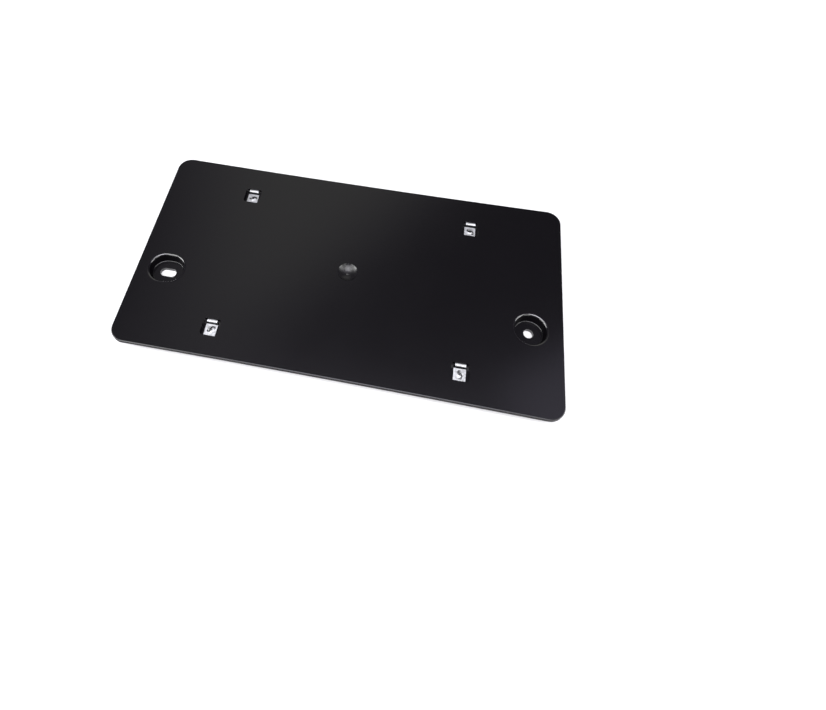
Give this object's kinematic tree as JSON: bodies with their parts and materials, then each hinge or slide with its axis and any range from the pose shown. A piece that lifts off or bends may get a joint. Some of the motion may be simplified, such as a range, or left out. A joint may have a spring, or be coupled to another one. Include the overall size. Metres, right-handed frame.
{
  "type": "number plate holder",
  "caption": "Flat moulded panel that carries a number plate on spring clip nuts and is screwed to a bumper through two recessed cups.",
  "frame": {"origin": "middle of the panel, in the plane of the undersides of the cups and of the pocket walls", "axes": "+X along the panel to the end with the round fixing hole, +Y towards the edge away from the cups, +Z out of the face that the plate lies against"},
  "size_m": [0.318, 0.172, 0.01],
  "materials": {
    "moulded_plastic": "fine-grained satin black",
    "zinc_plated_steel": "bright zinc plate on spring steel"
  },
  "bodies": {
    "root": {"panel": "moulded_plastic", "clip_nut_upper_left": "zinc_plated_steel", "clip_nut_upper_right": "zinc_plated_steel", "clip_nut_lower_left": "zinc_plated_steel", "clip_nut_lower_right": "zinc_plated_steel"}
  },
  "joints": []
}
